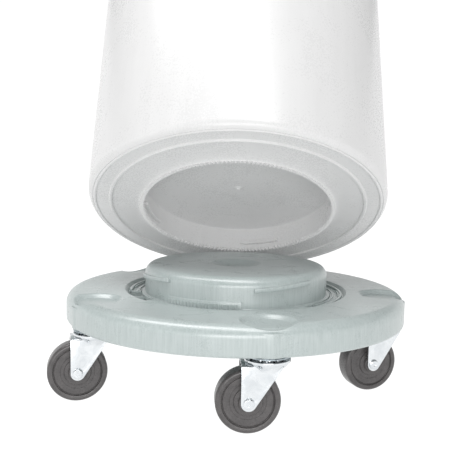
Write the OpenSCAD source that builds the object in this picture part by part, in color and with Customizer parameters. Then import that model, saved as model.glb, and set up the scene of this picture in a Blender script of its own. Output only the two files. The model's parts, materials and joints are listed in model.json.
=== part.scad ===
// Wash bucket on a twist-on wheeled dolly.
// Origin: on the floor, under the middle of the object. +Z is up, +X is to the right, -Y is the front.
// The bucket stands tipped back on the rear of the deck, so its underside and the hub can be seen.

/* [Dolly deck] */
// Diameter of the deck
deck_d = 464; // [456:1:476]
// Height of the deck's flat top above the floor
deck_top = 130; // [129:0.5:134]
// Height of the rim
rim_h = 37.5; // [36:0.5:39]
// Radius of the rim's upper edge
rim_round = 15; // [12:1:16]
// Wall thickness of the moulding
deck_wall = 5; // [4.5:0.5:5.5]
// Number of radial ribs under the deck for each caster
ribs_per_caster = 3; // [2:1:4]

/* [Twist hub] */
// Diameter of the hub
hub_d = 252; // [250:1:253]
// Height of the hub above the deck
hub_h = 35; // [34:0.5:35.4]
// Radius of the hub's upper edge
hub_round = 13; // [11:1:14]
// Diameter of the dish in the hub's top
dish_d = 70; // [60:1:80]
// Depth of that dish
dish_depth = 4.5; // [2:0.5:5]
// How far each ramped lug stands out from the hub
lug_out = 2.6; // [2:0.1:2.8]
// Slope of the lugs in degrees
lug_slope = 4; // [2:0.5:5]

/* [Casters] */
// Diameter of the circle that the casters stand on
caster_circle_d = 409; // [404:1:412]
// Angle of the first caster from the front, towards the right
caster_first = 11.2; // [5:0.1:20]
// Diameter of a wheel
wheel_d = 76.2; // [74:0.1:77]
// Width of a wheel
wheel_w = 24; // [22:0.5:24.5]
// Distance of a wheel's axle behind its swivel
trail = 22; // [20:0.5:23]
// Diameter of the axle
axle_d = 8; // [7.5:0.1:8.5]
// Diameter of the king bolt
king_d = 12; // [11.5:0.1:12.5]

/* [Bucket] */
// Height of the bucket
bucket_h = 580; // [540:5:620]
// Outer diameter of the wall just above the bottom corner
bucket_d = 420; // [416:1:424]
// Radius of the bottom corner
bucket_corner = 13; // [12:0.5:14]
// Growth of the wall's radius for each millimetre of height
wall_taper = 0.0148; // [0.01:0.001:0.02]
// Wall thickness
bucket_wall = 3.5; // [3:0.5:4]
// Depth of the recess that drops over the hub
recess_h = 35.7; // [35.6:0.1:36]
// Inner diameter of the serrated lip, at the tips of its teeth
lip_d = 263.2; // [263:0.1:264]
// Number of teeth round the lip
lip_teeth = 150; // [120:2:160]
// How far the bucket is tipped back, in degrees
tip_angle = 32; // [0:1:34]

/* [Hidden] */
$fn = 96;

casters = 5;
deck_r = deck_d / 2;
hub_r = hub_d / 2;
rim_bottom = deck_top - rim_h;
hub_top = deck_top + hub_h;
rim_low_round = 6;
caster_r = caster_circle_d / 2;
wheel_r = wheel_d / 2;
// Angle from +X of each caster's swivel axis
caster_angle = [for (i = [0:casters - 1]) caster_first - 90 + i * 360 / casters];
// Heading of each fork: the way its wheel rolls, from +X
caster_heading = [5, 20, 12, 225, 15];

// Annular dish round the foot of the hub, which takes the bucket's boss
moat_r = 150;
moat_depth = 4.5;
moat_flare = 3.5;
moat_floor = deck_top - moat_depth;
// Lugs: four ramps round the hub
lug_span = 37.6;
lug_mid = 29.8 - 90;
lug_t = 5.5;
lug_z = deck_top + 21.8;
lug_r = hub_r + lug_out;
// Ratchet band at the foot of the hub, and the same one on the far side
band_r = hub_r + 1.6;
band_top = deck_top + 4.8;
band_start = -42 - 90;
band_span = 46;
tooth_out = 1.2;
tooth_step = 2.2;
tooth_top = deck_top + 1.4;
// Windows beside the hub, each as [start, end, tongue start, tongue end] from +X
windows = [[42 - 90, 131 - 90, 50 - 90, 126 - 90], [234 - 90, 305 - 90, 240 - 90, 277 - 90]];
window_in = hub_r + 4.5;
window_out = moat_r - 0.5;
// Pockets above the casters
pocket_r = 33;
pocket_depth = 14;
pocket_ball = (pocket_r * pocket_r + pocket_depth * pocket_depth) / (2 * pocket_depth);
seat_z = deck_top - 26;
seat_r = 12;
boss_r = 29;

// Caster stack, from the deck down
race_r = 27.5;
race_t = 2.5;
race_bottom = rim_bottom - race_t;
ball_r = 2.35;
balls = 12;
ball_circle = 19;
cup_r = 27;
cup_floor = race_bottom - 2 * ball_r - 0.35;
cup_top = cup_floor + 2.2;
crown_bottom = cup_floor - 2.8;
cup_edge = 3.4;
leg_in = wheel_w / 2 + 4.5;
leg_t = 2.5;
leg_tip_r = 8.8;
leg_front = 17;
wheel_edge = 4;
bush_r = 5.5;
hex_18 = 18 / cos(30);
hex_13 = 13 / cos(30);

// Bucket, in its own seated place
seat_gap = 0.3;
base_z = deck_top + seat_gap;
foot_r = bucket_d / 2 - bucket_corner;
lip_drop = 3.5;
lip_r = lip_d / 2;
lip_out = lip_r + 7.5;
boss_out = moat_r;
sole_lift = 2.5;
recess_r = lip_r + 2.4;
bead_ring = 181;
bead_r = 2.4;
tooth_depth = 1.7;
lip_tooth_h = 5;
twist_lug_in = hub_r + 2.4;
twist_lug_span = 26;
twist_lug_z = 8;
twist_lug_t = 5;
rim_out = 9;
rim_skirt = 24;
rim_edge = 4;
handle_reach = 34;
handle_w = 130;
handle_t = 15;
handle_slot = 88;
handle_slot_w = 21;

// Radius of the bucket's outer wall at height z above its base
function wall_r(z) = bucket_d / 2 + wall_taper * (z - bucket_corner);
// How far back the tipped bucket's rim reaches, from the dolly's axis
rim_reach = foot_r + (wall_r(bucket_h) + rim_out - rim_edge - foot_r) * cos(tip_angle)
  + (bucket_h - rim_edge - bucket_corner) * sin(tip_angle) + rim_edge;
// Y of the dolly's axis, so that the object's footprint is centred on the origin
dolly_y = -round((rim_reach - deck_r) / 2);
// Point where the straight front edge of a fork leg meets its round tip
function tangent_point(c, p, r) =
  let (v = p - c, a = atan2(v[1], v[0]) - acos(r / norm(v))) c + r * [cos(a), sin(a)];

// A piece of ring from r0 to r1 and z0 to z1, over span degrees from start
module arc_block(r0, r1, z0, z1, start, span) {
  rotate([0, 0, start])
    rotate_extrude(angle = span)
      translate([r0, z0]) square([r1 - r0, z1 - z0]);
}

// Places children at caster i: origin on the swivel axis, +X along its heading
module at_caster(i) {
  translate([caster_r * cos(caster_angle[i]), caster_r * sin(caster_angle[i]), 0])
    rotate([0, 0, caster_heading[i]])
      children();
}

// Repeats children at every swivel axis
module each_caster() {
  for (i = [0:casters - 1]) at_caster(i) children();
}

// Cross-section of the deck's outside, with the rounded rim
module deck_outline() {
  translate([0, rim_bottom]) square([deck_r - rim_low_round, rim_h - 1]);
  translate([0, rim_bottom]) square([deck_r - rim_round, rim_h]);
  translate([0, rim_bottom + rim_low_round]) square([deck_r, rim_h - rim_low_round - rim_round]);
  translate([deck_r - rim_low_round, rim_bottom + rim_low_round]) circle(rim_low_round);
  translate([deck_r - rim_round, deck_top - rim_round]) circle(rim_round);
}

// Cross-section of the space under the deck and hub
module deck_hollow() {
  skin = deck_top - deck_wall;
  low_skin = moat_floor - deck_wall;
  edge = rim_round - deck_wall;
  inner = hub_r - deck_wall;
  ceiling = hub_top - 7.5;
  polygon([
    [0, rim_bottom - 1], [deck_r - deck_wall, rim_bottom - 1], [deck_r - deck_wall, deck_top - rim_round],
    [deck_r - rim_round, skin], [moat_r + 8, skin], [moat_r + 8, low_skin], [inner, low_skin],
    [inner, hub_top - hub_round - 3], [hub_r - hub_round, ceiling], [0, ceiling]
  ]);
  translate([deck_r - rim_round, deck_top - rim_round]) circle(edge);
}

// Ribs and caster bosses that stay in that space
module deck_stiffening() {
  for (i = [0:casters - 1]) {
    rotate([0, 0, caster_angle[i]]) {
      translate([caster_r, 0, rim_bottom - 1]) cylinder(r = boss_r, h = rim_h);
      for (k = [0:ribs_per_caster - 1])
        rotate([0, 0, (k + 0.5 - ribs_per_caster / 2) * 360 / casters / ribs_per_caster + 36])
          translate([hub_r - 14, -1.5, rim_bottom + 6]) cube([deck_r - hub_r + 8, 3, rim_h]);
    }
  }
  // Ring that carries the hub's wall down, and spokes across it
  difference() {
    translate([0, 0, rim_bottom + 4]) cylinder(r = hub_r - 1, h = rim_h);
    translate([0, 0, rim_bottom]) cylinder(r = hub_r - 5, h = rim_h + 20);
  }
}

// One ramped lug, tilted about the radius through its middle
module hub_lug(a) {
  rotate([0, 0, a])
    translate([0, 0, lug_z])
      rotate([lug_slope, 0, 0])
        arc_block(hub_r - 6, lug_r, -lug_t / 2, lug_t / 2, -lug_span / 2, lug_span);
}

// Ratchet band with its teeth
module ratchet_band(a) {
  teeth = floor(band_span / tooth_step);
  arc_block(hub_r - 3, band_r, moat_floor - 1, band_top, a, band_span);
  translate([0, 0, moat_floor - 1])
    linear_extrude(height = tooth_top - moat_floor + 1)
      polygon(concat(
        [for (k = [0:teeth]) for (s = [0, 1])
          let (r = band_r - 0.2 + s * tooth_out, t = a + (k + s * 0.5) * tooth_step) r * [cos(t), sin(t)]],
        [for (k = [teeth:-1:0]) let (t = a + k * tooth_step) (hub_r - 2) * [cos(t), sin(t)]]
      ));
}

// Sprung tongue that crosses a window: a thin floor, two ribs and a latch bump
module latch_tongue(w) {
  span = w[3] - w[2];
  mid = (w[2] + w[3]) / 2;
  arc_block(window_in + 0.8, window_out - 0.8, moat_floor - 4, moat_floor - 0.8, w[2], span);
  arc_block(window_in + 3, window_in + 5.5, moat_floor - 4, moat_floor + 0.5, w[2], span);
  arc_block(window_out - 5.5, window_out - 2, moat_floor - 4, moat_floor + 2.6, w[2], span);
  arc_block(window_in + 11, window_out - 4, moat_floor - 4, moat_floor + 1.2, mid - 7, 14);
  // Webs that join the tongue to the deck's skin at its middle
  arc_block(window_out - 3, window_out + 1, moat_floor - 4, moat_floor - 0.5, mid - 9, 18);
}

module deck() {
  color("#a3abab") {
    difference() {
      union() {
        difference() {
          rotate_extrude() deck_outline();
          // Moat round the hub
          rotate_extrude()
            polygon([[0, moat_floor], [moat_r, moat_floor], [moat_r + moat_flare, deck_top + 0.01],
              [moat_r + moat_flare, deck_top + 1], [0, deck_top + 1]]);
        }
        // Hub, with its rounded upper edge
        rotate_extrude() {
          translate([0, rim_bottom + 4]) square([hub_r, rim_h + hub_h - hub_round - 4]);
          translate([0, deck_top]) square([hub_r - hub_round, hub_h]);
          translate([hub_r - hub_round, hub_top - hub_round]) circle(hub_round);
        }
        for (k = [0:3]) hub_lug(lug_mid + k * 90);
        for (k = [0, 1]) ratchet_band(band_start + k * 180);
      }
      difference() {
        rotate_extrude() deck_hollow();
        deck_stiffening();
      }
      // Dish in the hub's top
      let (ball = (dish_d * dish_d / 4 + dish_depth * dish_depth) / (2 * dish_depth))
        translate([0, 0, hub_top - dish_depth + ball]) sphere(ball);
      for (w = windows)
        arc_block(window_in, window_out, rim_bottom, deck_top + 2, w[0], w[1] - w[0]);
      for (a = caster_angle)
        rotate([0, 0, a]) {
          translate([caster_r - 2, 0, deck_top - pocket_depth + pocket_ball]) sphere(pocket_ball);
          translate([caster_r, 0, seat_z]) cylinder(r = seat_r, h = 20);
          translate([caster_r, 0, rim_bottom - 2]) cylinder(d = king_d + 0.4, h = rim_h);
        }
    }
    for (w = windows) latch_tongue(w);
  }
}

// Upper race of each caster, bolted flat under its boss
module race_plates() {
  color("#c9ccce")
    each_caster()
      difference() {
        translate([0, 0, race_bottom]) cylinder(r = race_r, h = race_t);
        translate([0, 0, race_bottom - 1]) cylinder(d = king_d + 0.4, h = race_t + 2);
      }
}

// King bolts: a hex head under the fork's crown and a shank up to the pocket
module king_bolts() {
  color("#b9bcbf")
    each_caster() {
      translate([0, 0, crown_bottom - 4.3]) cylinder(d = hex_18, h = 4, $fn = 6);
      translate([0, 0, crown_bottom - 1]) cylinder(d = king_d, h = seat_z + 13 - crown_bottom + 1);
    }
}

module king_washers() {
  color("#c5c8ca")
    each_caster()
      difference() {
        translate([0, 0, seat_z]) cylinder(r = 11, h = 1.6);
        translate([0, 0, seat_z - 1]) cylinder(d = king_d, h = 4);
      }
}

module king_nuts() {
  color("#b4b7ba")
    each_caster()
      difference() {
        translate([0, 0, seat_z + 1.6]) cylinder(d = hex_18, h = 9.4, $fn = 6);
        translate([0, 0, seat_z]) cylinder(d = king_d, h = 14);
      }
}

// Loose balls between the races
module race_balls() {
  color("#d6d9db")
    each_caster()
      for (k = [0:balls - 1])
        rotate([0, 0, k * 360 / balls])
          translate([ball_circle, 0, race_bottom - ball_r - 0.05]) sphere(ball_r);
}

// Side outline of a fork leg: vertical rear edge, slanted front edge, round tip at the axle
module leg_outline() {
  axle_at = [-trail, wheel_r];
  corner = [leg_front, crown_bottom + 1.5];
  polygon([axle_at, [-trail - leg_tip_r, wheel_r], [-trail - leg_tip_r, crown_bottom + 1.5],
    corner, tangent_point(axle_at, corner, leg_tip_r)]);
  translate(axle_at) circle(leg_tip_r);
}

// Pressed fork: the lower race cup, a crown plate and two legs
module fork(i) {
  leg_out = leg_in + leg_t;
  color("#d2d5d8")
    at_caster(i)
      difference() {
        union() {
          rotate_extrude() {
            translate([0, crown_bottom]) square([cup_r - cup_edge, cup_top - crown_bottom]);
            translate([0, crown_bottom + cup_edge]) square([cup_r, cup_top - crown_bottom - cup_edge]);
            translate([cup_r - cup_edge, crown_bottom + cup_edge]) circle(cup_edge);
          }
          translate([-trail - leg_tip_r, -leg_out, crown_bottom])
            cube([trail + leg_tip_r + leg_front, 2 * leg_out, 2.4]);
          for (y = [-leg_in, leg_out])
            translate([0, y, 0]) rotate([90, 0, 0]) linear_extrude(height = leg_t) leg_outline();
        }
        translate([0, 0, cup_floor]) cylinder(r = cup_r - 2.2, h = 10);
        translate([0, 0, crown_bottom - 2]) cylinder(d = king_d + 0.8, h = 12);
        translate([-trail, 50, wheel_r]) rotate([90, 0, 0]) cylinder(d = axle_d, h = 100);
      }
}

// Axle with a low round head on the outer side and a plain end for its nut
module axle(i) {
  side = leg_in + leg_t;
  color("#c2c5c8")
    at_caster(i)
      translate([-trail, 0, wheel_r])
        rotate([90, 0, 0]) {
          translate([0, 0, -side - 6.5]) cylinder(d = axle_d, h = 2 * side + 6.5);
          translate([0, 0, side]) cylinder(r = 6.5, h = 1.2);
          translate([0, 0, side + 1.2]) cylinder(r1 = 6.5, r2 = 5, h = 0.8);
        }
}

module axle_nut(i) {
  color("#b9bcbf")
    at_caster(i)
      translate([-trail, leg_in + leg_t, wheel_r])
        rotate([-90, 0, 0])
          difference() {
            cylinder(d = hex_13, h = 5.5, $fn = 6);
            translate([0, 0, -1]) cylinder(d = axle_d, h = 8);
          }
}

// Plain bearing sleeve that the fork clamps and the wheel turns on
module bush(i) {
  color("#8d8f92")
    at_caster(i)
      translate([-trail, leg_in, wheel_r])
        rotate([90, 0, 0])
          difference() {
            cylinder(r = bush_r, h = 2 * leg_in);
            translate([0, 0, -1]) cylinder(d = axle_d, h = 2 * leg_in + 2);
          }
}

// Steps of a wheel's side face, as [radius, distance from the middle plane], bore to tread
function wheel_steps() =
  let (half = wheel_w / 2, bore = bush_r + 0.1)
  [[bore, half + 4], [11, half + 4], [12, half - 0.4], [16.5, half - 0.4], [17.5, half - 2.2],
    [29, half - 1.6], [30.2, half - 2.4], [31.4, half - 0.4], [wheel_r - wheel_edge, half]];

// A wheel's cross-section: radius along x, width along y
module wheel_outline() {
  steps = wheel_steps();
  n = len(steps);
  half = wheel_w / 2;
  difference() {
    polygon(concat(steps, [[wheel_r, half], [wheel_r, -half]],
      [for (k = [n - 1:-1:0]) [steps[k][0], -steps[k][1]]]));
    // Rounded shoulders of the tread
    for (s = [0, 1])
      mirror([0, s])
        translate([wheel_r - wheel_edge, half - wheel_edge])
          difference() {
            square(wheel_edge + 1);
            circle(wheel_edge);
          }
  }
}

module wheel(i) {
  color("#55524f")
    at_caster(i)
      translate([-trail, 0, wheel_r])
        rotate([90, 0, 0])
          rotate_extrude() wheel_outline();
}

// Cross-section of the bucket's outside, base at height 0
module bucket_outline() {
  polygon([[0, 0], [foot_r, 0], [foot_r, bucket_corner], [bucket_d / 2, bucket_corner],
    [wall_r(bucket_h), bucket_h], [0, bucket_h]]);
  translate([foot_r, bucket_corner]) circle(bucket_corner);
}

// Cross-section of the space inside, over the raised middle of the floor
module bucket_inside() {
  t = bucket_wall;
  floor_z = sole_lift + t;
  polygon([[0, recess_h + t], [recess_r + t, recess_h + t], [recess_r + t + 6, floor_z], [foot_r, floor_z],
    [foot_r, bucket_corner], [bucket_d / 2 - t, bucket_corner], [wall_r(bucket_h) - t, bucket_h],
    [wall_r(bucket_h) - t, bucket_h + 1], [0, bucket_h + 1]]);
  translate([foot_r, bucket_corner]) circle(bucket_corner - t);
}

// Cross-section of the sole: boss that carries the lip, the annulus and the bead
module bucket_sole_cut() {
  polygon([[boss_out, -5], [boss_out, sole_lift], [foot_r - 6, sole_lift], [foot_r - 5, -5]]);
}

// Rolled rim: top flange and a skirt outside the wall
module bucket_rim() {
  r = wall_r(bucket_h) - bucket_wall;
  out = wall_r(bucket_h) + rim_out;
  polygon([[r, bucket_h - 3.5], [out - 3.5, bucket_h - 3.5], [out - 3.5, bucket_h - rim_skirt],
    [out, bucket_h - rim_skirt], [out, bucket_h - rim_edge], [out - rim_edge, bucket_h], [r, bucket_h]]);
  translate([out - rim_edge, bucket_h - rim_edge]) circle(rim_edge);
}

// One loop handle on the +X side
module bucket_handle() {
  out = wall_r(bucket_h) + rim_out;
  end = out + handle_reach;
  corner = 20;
  slot_x = end - 12 - handle_slot_w / 2;
  r = handle_slot_w / 2;
  translate([0, 0, bucket_h - rim_skirt])
    linear_extrude(height = handle_t)
      difference() {
        union() {
          translate([out - 20, -handle_w / 2]) square([end - out + 20 - corner, handle_w]);
          translate([out - 20, -handle_w / 2 + corner]) square([end - out + 20, handle_w - 2 * corner]);
          for (s = [-1, 1]) translate([end - corner, s * (handle_w / 2 - corner)]) circle(corner);
        }
        circle(r = out - 1.7);
        translate([slot_x - r, -handle_slot / 2 + r]) square([2 * r, handle_slot - 2 * r]);
        for (s = [-1, 1]) translate([slot_x, s * (handle_slot / 2 - r)]) circle(r);
      }
}

// Serrated ring of the lip: fine teeth point inwards
module lip_ring() {
  translate([0, 0, -lip_drop])
    linear_extrude(height = lip_tooth_h)
      difference() {
        circle(r = lip_out - 2);
        polygon([for (k = [0:lip_teeth - 1]) for (s = [0, 1])
          let (t = (k + s * 0.5) * 360 / lip_teeth, r = lip_r + s * tooth_depth) r * [cos(t), sin(t)]]);
      }
}

module bucket_seated() {
  difference() {
    union() {
      rotate_extrude() {
        difference() {
          bucket_outline();
          bucket_sole_cut();
        }
        polygon([[recess_r, -lip_drop], [lip_out, -lip_drop], [boss_out, sole_lift], [boss_out, 6],
          [recess_r, 6]]);
        translate([bead_ring, sole_lift]) circle(bead_r);
        bucket_rim();
      }
      for (s = [0, 180]) rotate([0, 0, s]) bucket_handle();
    }
    rotate_extrude() bucket_inside();
    translate([0, 0, -10]) cylinder(r = recess_r, h = recess_h + 10);
  }
  lip_ring();
  for (k = [0:3])
    arc_block(twist_lug_in, recess_r + 1.5, twist_lug_z, twist_lug_z + twist_lug_t,
      lug_mid + 45 + k * 90 - twist_lug_span / 2, twist_lug_span);
  // Gate mark in the middle of the recess
  translate([0, 0, recess_h - 1.2]) cylinder(r = 4, h = 2);
}

// The bucket tips back about the middle of its rear bottom corner's round
module bucket() {
  pivot = [0, foot_r, base_z + bucket_corner];
  color("#eceeef")
    translate(pivot)
      rotate([-tip_angle, 0, 0])
        translate([0, 0, base_z] - pivot)
          bucket_seated();
}

// Moves the dolly's axis to its place over the origin
module placed() {
  translate([0, dolly_y, 0]) children();
}

placed() deck();
placed() race_plates();
placed() king_bolts();
placed() king_washers();
placed() king_nuts();
placed() race_balls();
placed() fork(0);  // fork_1
placed() fork(1);  // fork_2
placed() fork(2);  // fork_3
placed() fork(3);  // fork_4
placed() fork(4);  // fork_5
placed() axle(0);  // axle_1
placed() axle(1);  // axle_2
placed() axle(2);  // axle_3
placed() axle(3);  // axle_4
placed() axle(4);  // axle_5
placed() axle_nut(0);  // axle_nut_1
placed() axle_nut(1);  // axle_nut_2
placed() axle_nut(2);  // axle_nut_3
placed() axle_nut(3);  // axle_nut_4
placed() axle_nut(4);  // axle_nut_5
placed() bush(0);  // bush_1
placed() bush(1);  // bush_2
placed() bush(2);  // bush_3
placed() bush(3);  // bush_4
placed() bush(4);  // bush_5
placed() wheel(0);  // wheel_1
placed() wheel(1);  // wheel_2
placed() wheel(2);  // wheel_3
placed() wheel(3);  // wheel_4
placed() wheel(4);  // wheel_5
placed() bucket();
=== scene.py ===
"""Wash bucket on its twist-on wheeled dolly: finishes, detail pieces, studio and camera.

Lengths are in metres in the part's own frame: +Z up, +X to the right, -Y the front.
"""

import json
import logging
import math
from dataclasses import dataclass, field
from enum import Enum
from typing import Iterable, Sequence

import bmesh
import bpy
from mathutils import Matrix, Vector


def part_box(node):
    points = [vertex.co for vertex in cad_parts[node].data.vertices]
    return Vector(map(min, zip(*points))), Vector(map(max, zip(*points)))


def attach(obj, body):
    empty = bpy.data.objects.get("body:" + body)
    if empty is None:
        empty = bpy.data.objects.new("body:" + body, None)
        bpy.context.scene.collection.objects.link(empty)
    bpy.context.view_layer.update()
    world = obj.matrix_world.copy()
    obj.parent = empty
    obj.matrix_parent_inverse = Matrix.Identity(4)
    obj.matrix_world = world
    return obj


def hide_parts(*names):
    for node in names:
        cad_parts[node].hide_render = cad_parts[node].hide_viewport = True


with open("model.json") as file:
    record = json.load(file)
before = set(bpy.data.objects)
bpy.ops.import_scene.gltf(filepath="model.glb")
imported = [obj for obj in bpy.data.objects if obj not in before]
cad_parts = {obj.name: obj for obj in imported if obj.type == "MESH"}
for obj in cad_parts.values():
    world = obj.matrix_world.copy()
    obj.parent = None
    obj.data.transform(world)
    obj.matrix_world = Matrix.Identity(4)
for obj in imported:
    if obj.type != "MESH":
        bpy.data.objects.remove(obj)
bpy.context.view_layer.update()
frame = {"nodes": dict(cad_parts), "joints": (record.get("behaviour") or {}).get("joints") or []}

log = logging.getLogger("wash_bucket")

MM = 0.001
Point = tuple[float, float]
Corner = tuple[float, float, float]


class Slot(Enum):
    """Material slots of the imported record."""

    GREY = "moulded_grey"
    WHITE = "moulded_white"
    ZINC = "zinc_steel"
    BALL = "ball_steel"
    BUSH = "bush_steel"
    TREAD = "wheel_tread"


# ---------------------------------------------------------------- material helpers


def linear(hex_code: str) -> tuple[float, float, float, float]:
    """Turn an sRGB hex colour into linear RGBA.

    Args:
        hex_code: colour as "#rrggbb".

    Returns:
        The linear colour with full alpha.
    """
    parts = [int(hex_code[i : i + 2], 16) / 255 for i in (1, 3, 5)]
    straight = [c / 12.92 if c <= 0.04045 else ((c + 0.055) / 1.055) ** 2.4 for c in parts]
    return (*straight, 1.0)


def put(tree: bpy.types.NodeTree, kind: str, inputs: dict | None = None, **settings) -> bpy.types.Node:
    """Add a node, set it and link it.

    Args:
        tree: node tree that takes the node.
        kind: the node's type name.
        inputs: socket name or number to a value or to another node's output socket.
        **settings: attributes of the node.

    Returns:
        The new node.
    """
    node = tree.nodes.new(kind)
    for name, value in settings.items():
        setattr(node, name, value)
    for key, value in (inputs or {}).items():
        if isinstance(value, bpy.types.NodeSocket):
            tree.links.new(value, node.inputs[key])
        else:
            node.inputs[key].default_value = value
    return node


def blank(name: str) -> tuple[bpy.types.Material, bpy.types.NodeTree, bpy.types.Node]:
    """Start a node material.

    Args:
        name: the finish's name.

    Returns:
        The material, its tree and its shader node.
    """
    material = bpy.data.materials.new(name)
    material.use_nodes = True
    tree = material.node_tree
    tree.nodes.clear()
    shader = put(tree, "ShaderNodeBsdfPrincipled")
    put(tree, "ShaderNodeOutputMaterial", {"Surface": shader.outputs["BSDF"]})
    return material, tree, shader


def local_coords(tree: bpy.types.NodeTree, centre: Vector, turn: Sequence[float]) -> bpy.types.NodeSocket:
    """Object coordinates, centred and turned on a piece.

    Args:
        tree: the material's tree.
        centre: the pattern's origin.
        turn: the pattern's turn about X, Y and Z, in radians.

    Returns:
        The vector output, in metres.
    """
    coords = put(tree, "ShaderNodeTexCoord")
    moved = put(
        tree, "ShaderNodeMapping",
        {"Vector": coords.outputs["Object"], "Location": centre, "Rotation": turn},
        vector_type="TEXTURE",
    )
    return moved.outputs["Vector"]


@dataclass(frozen=True)
class MouldedFinish:
    """Injection-moulded polyethylene: swirled flow marks, fine grain and a satin skin."""

    name: str
    pale: str
    deep: str
    rough_low: float
    rough_high: float
    streak_mm: float
    streak_height_mm: float
    cloud_mm: float
    grain_mm: float
    grain_height_mm: float
    subsurface: float = 0.0
    gloss: float = 0.5
    # glow: emission strength; on the bucket it is a painted glow standing in for light that comes through the wall
    glow: float = 0.0
    centre: Vector = field(default_factory=lambda: Vector((0.0, 0.0, 0.0)))
    turn: tuple[float, float, float] = (0.0, 0.0, 0.0)

    def make(self) -> bpy.types.Material:
        """Build the material.

        Returns:
            The finished node material.
        """
        material, tree, shader = blank(self.name)
        where = local_coords(tree, self.centre, self.turn)
        wide, tall = 1 / (self.streak_mm * MM), 1 / (self.streak_height_mm * MM)
        stretched = put(tree, "ShaderNodeVectorMath", {0: where, 1: (wide, wide, tall)}, operation="MULTIPLY")
        streaks = put(tree, "ShaderNodeTexNoise", {"Vector": stretched.outputs[0], "Scale": 1.0, "Detail": 3.0, "Roughness": 0.6})
        clouds = put(tree, "ShaderNodeTexNoise", {"Vector": where, "Scale": 1 / (self.cloud_mm * MM), "Detail": 4.0, "Distortion": 0.8})
        grain = put(tree, "ShaderNodeTexNoise", {"Vector": where, "Scale": 1 / (self.grain_mm * MM), "Detail": 2.0})
        both = put(tree, "ShaderNodeMath", {0: clouds.outputs["Fac"], 1: 0.3, 2: streaks.outputs["Fac"]}, operation="MULTIPLY_ADD")
        share = put(tree, "ShaderNodeMapRange", {"Value": both.outputs[0], "From Min": 0.4, "From Max": 0.9})
        tint = put(tree, "ShaderNodeMix", {0: share.outputs[0], 6: linear(self.deep), 7: linear(self.pale)}, data_type="RGBA")
        tree.links.new(tint.outputs[2], shader.inputs["Base Color"])
        skin = put(tree, "ShaderNodeMath", {0: clouds.outputs["Fac"], 1: grain.outputs["Fac"]}, operation="ADD")
        rough = put(
            tree, "ShaderNodeMapRange",
            {"Value": skin.outputs[0], "From Min": 0.7, "From Max": 1.3, "To Min": self.rough_low, "To Max": self.rough_high},
        )
        tree.links.new(rough.outputs[0], shader.inputs["Roughness"])
        relief = put(tree, "ShaderNodeMath", {0: streaks.outputs["Fac"], 1: 0.5, 2: grain.outputs["Fac"]}, operation="MULTIPLY_ADD")
        bump = put(
            tree, "ShaderNodeBump",
            {"Height": relief.outputs[0], "Strength": 1.0, "Distance": self.grain_height_mm * MM},
        )
        tree.links.new(bump.outputs[0], shader.inputs["Normal"])
        shader.inputs["IOR"].default_value = 1.51
        shader.inputs["Specular IOR Level"].default_value = self.gloss
        # Emission here is painted light: a faint glow that brightens the shaded underside in place of light coming
        # through the wall
        if self.glow:
            shader.inputs["Emission Color"].default_value = (1, 1, 1, 1)
            shader.inputs["Emission Strength"].default_value = self.glow
        if self.subsurface:
            shader.inputs["Subsurface Weight"].default_value = self.subsurface
            shader.inputs["Subsurface Radius"].default_value = (1.0, 1.0, 1.0)
            shader.inputs["Subsurface Scale"].default_value = 0.004
        return material


@dataclass(frozen=True)
class SteelFinish:
    """Steel with a plated, turned or polished skin: patches of gloss and fine draw lines."""

    name: str
    pale: str
    deep: str
    rough_low: float
    rough_high: float
    patch_mm: float
    line_mm: float
    line_height_mm: float

    def make(self) -> bpy.types.Material:
        """Build the material.

        Returns:
            The finished node material.
        """
        material, tree, shader = blank(self.name)
        where = local_coords(tree, Vector((0, 0, 0)), (0.0, 0.0, 0.0))
        patches = put(tree, "ShaderNodeTexNoise", {"Vector": where, "Scale": 1 / (self.patch_mm * MM), "Detail": 4.0, "Distortion": 1.2})
        drawn = put(tree, "ShaderNodeVectorMath", {0: where, 1: (0.25, 0.25, 1.0)}, operation="MULTIPLY")
        lines = put(tree, "ShaderNodeTexNoise", {"Vector": drawn.outputs[0], "Scale": 1 / (self.line_mm * MM), "Detail": 3.0})
        share = put(tree, "ShaderNodeMapRange", {"Value": patches.outputs["Fac"], "From Min": 0.35, "From Max": 0.65})
        tint = put(tree, "ShaderNodeMix", {0: share.outputs[0], 6: linear(self.deep), 7: linear(self.pale)}, data_type="RGBA")
        tree.links.new(tint.outputs[2], shader.inputs["Base Color"])
        worn = put(tree, "ShaderNodeMath", {0: patches.outputs["Fac"], 1: lines.outputs["Fac"]}, operation="ADD")
        rough = put(
            tree, "ShaderNodeMapRange",
            {"Value": worn.outputs[0], "From Min": 0.75, "From Max": 1.25, "To Min": self.rough_low, "To Max": self.rough_high},
        )
        tree.links.new(rough.outputs[0], shader.inputs["Roughness"])
        bump = put(tree, "ShaderNodeBump", {"Height": lines.outputs["Fac"], "Strength": 1.0, "Distance": self.line_height_mm * MM})
        tree.links.new(bump.outputs[0], shader.inputs["Normal"])
        shader.inputs["Metallic"].default_value = 1.0
        return material


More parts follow.
